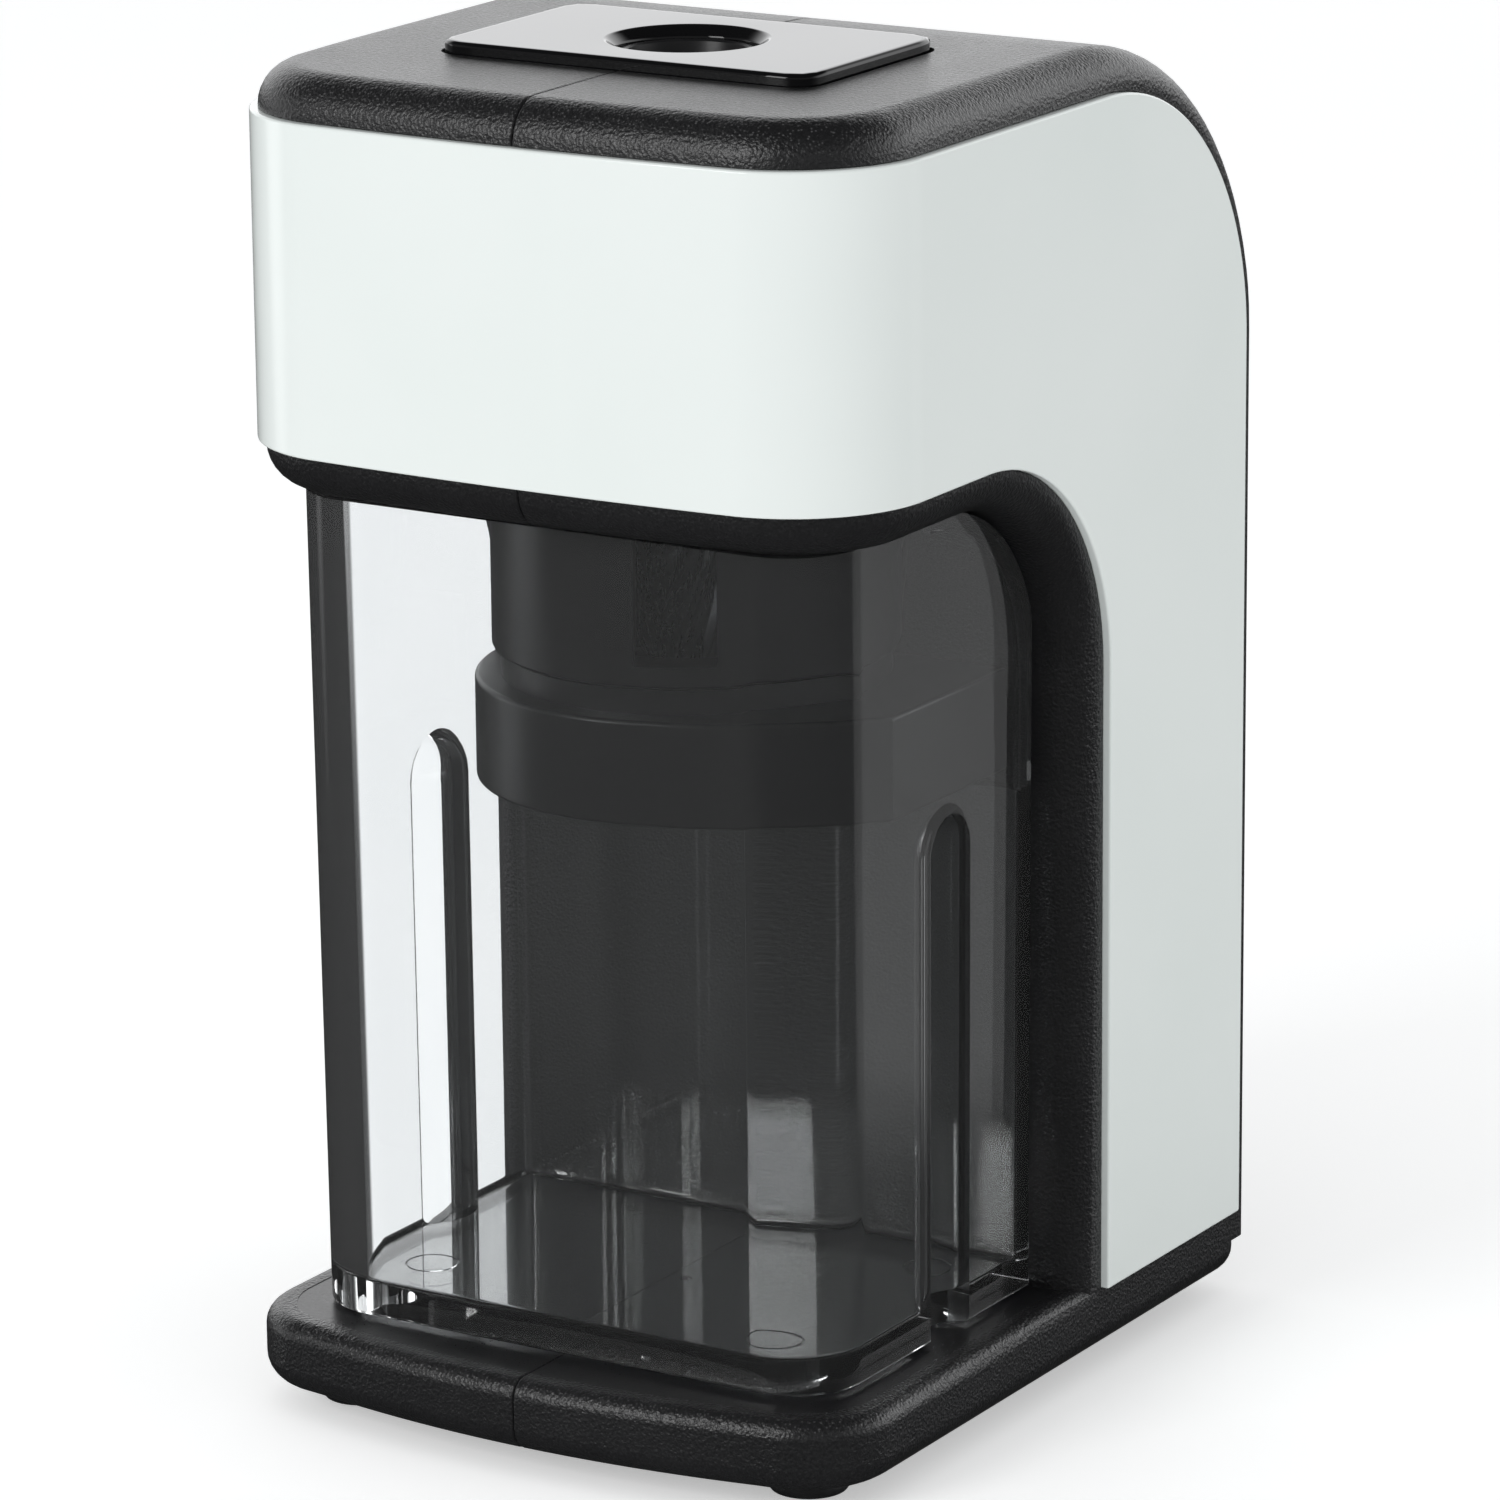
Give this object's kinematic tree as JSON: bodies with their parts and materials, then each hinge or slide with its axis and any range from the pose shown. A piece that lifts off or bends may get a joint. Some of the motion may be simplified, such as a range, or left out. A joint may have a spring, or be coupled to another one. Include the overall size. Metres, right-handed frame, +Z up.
{
  "type": "pencil sharpener",
  "caption": "Upright automatic pencil sharpener: black C-shaped body, white wrap-round cover, top pencil hole, clear pull-out shavings bin, helical cutter driven by a small motor.",
  "frame": {"origin": "middle of the footprint, on the surface that the feet stand on", "axes": "+Z up, -Y towards the front where the bin comes out, +X to the right when the front is seen"},
  "size_m": [0.08, 0.0938, 0.1499],
  "materials": {
    "black_textured": "fine-grained black moulded plastic",
    "white_gloss": "glossy white, slightly cool",
    "piano_black": "piano black, mirror gloss",
    "clear_bin": "clear moulded styrene, polished",
    "inner_black": "satin black moulded plastic",
    "white_acetal": "natural acetal",
    "cutter_steel": "ground tool steel",
    "motor_steel": "zinc-plated steel",
    "brass_gear": "machined brass",
    "red_plastic": "red moulded plastic",
    "screw_steel": "black-zinc screws",
    "board_green": "green solder mask",
    "cell_jacket": "plain printed film, no lettering",
    "nickel": "nickel-plated spring steel",
    "foot_rubber": "black rubber"
  },
  "bodies": {
    "housing": {"body_shell_left": "black_textured", "body_shell_right": "black_textured", "wrap_cover": "white_gloss", "top_plate": "piano_black", "pencil_guide": "inner_black", "shavings_chute": "inner_black", "cutter_drum": "inner_black", "ring_gear": "white_acetal", "reduction_axle": "cutter_steel", "motor_can": "motor_steel", "motor_end_cap": "inner_black", "gearbox_plate": "motor_steel", "gear_cover": "inner_black", "motor_screw_1": "screw_steel", "motor_screw_2": "screw_steel", "drum_screw_1": "screw_steel", "drum_screw_2": "screw_steel", "drum_screw_3": "screw_steel", "body_screw_1": "screw_steel", "body_screw_2": "screw_steel", "body_screw_3": "screw_steel", "body_screw_4": "screw_steel", "pencil_switch": "inner_black", "lever_pin": "cutter_steel", "bin_switch": "inner_black", "circuit_board": "board_green", "battery_tray": "inner_black", "battery_cell_1": "cell_jacket", "battery_cell_2": "cell_jacket", "battery_cell_3": "cell_jacket", "battery_cell_4": "cell_jacket", "battery_spring_1": "nickel", "battery_spring_2": "nickel", "battery_spring_3": "nickel", "battery_spring_4": "nickel", "contact_strip_lower": "nickel", "contact_strip_upper": "nickel", "foot_front_left": "foot_rubber", "foot_front_right": "foot_rubber", "foot_rear_left": "foot_rubber", "foot_rear_right": "foot_rubber"},
    "bin": {"shavings_bin": "clear_bin"},
    "carrier": {"cutter_carrier": "inner_black", "carrier_gear": "white_acetal", "cutter_pin": "cutter_steel"},
    "cutter": {"helical_cutter": "cutter_steel", "cutter_gear": "brass_gear"},
    "reduction": {"reduction_gear": "white_acetal"},
    "rotor": {"motor_shaft": "cutter_steel", "motor_pinion": "brass_gear"},
    "pencil_lever": {"pencil_switch_lever": "white_acetal"},
    "bin_plunger": {"bin_switch_plunger": "red_plastic"},
    "battery_lid": {"battery_door": "black_textured"}
  },
  "joints": [
    {"name": "bin_slide", "type": "slide", "parent": "housing", "child": "bin", "axis": [0, -1, 0], "range_m": [0, 0.06]},
    {"name": "carrier_spin", "type": "hinge", "parent": "housing", "child": "carrier", "pos_m": [0, -0.00847, 0.118], "axis": [0, 0, 1], "continuous": true},
    {"name": "cutter_spin", "type": "hinge", "parent": "carrier", "child": "cutter", "pos_m": [0.00442, -0.01688, 0.1046], "axis": [0.0927, -0.1765, 0.9799], "continuous": true},
    {"name": "reduction_spin", "type": "hinge", "parent": "housing", "child": "reduction", "pos_m": [0.00808, 0.01519, 0.118], "axis": [0, 0, 1], "continuous": true},
    {"name": "rotor_spin", "type": "hinge", "parent": "housing", "child": "rotor", "pos_m": [0, 0.029, 0.1], "axis": [0, 0, 1], "continuous": true},
    {"name": "lever_swing", "type": "hinge", "parent": "housing", "child": "pencil_lever", "pos_m": [0.0093, -0.00847, 0.1402], "axis": [0, -1, 0], "range_deg": [0, 11], "stiffness_Nm_per_rad": 0.004, "springref_deg": -17.19},
    {"name": "plunger_press", "type": "slide", "parent": "housing", "child": "bin_plunger", "axis": [0, 0, 1], "range_m": [0, 0.001], "stiffness_N_per_m": 150, "springref_m": -0.0015},
    {"name": "battery_lid_swing", "type": "hinge", "parent": "housing", "child": "battery_lid", "pos_m": [0, 0.0466, 0.0129], "axis": [-1, 0, 0], "range_deg": [0, 85]}
  ],
  "couplings": [
    {"joint": "cutter_spin", "follows": "carrier_spin", "ratio": -3.1111},
    {"joint": "reduction_spin", "follows": "carrier_spin", "ratio": -4},
    {"joint": "rotor_spin", "follows": "carrier_spin", "ratio": 12}
  ]
}
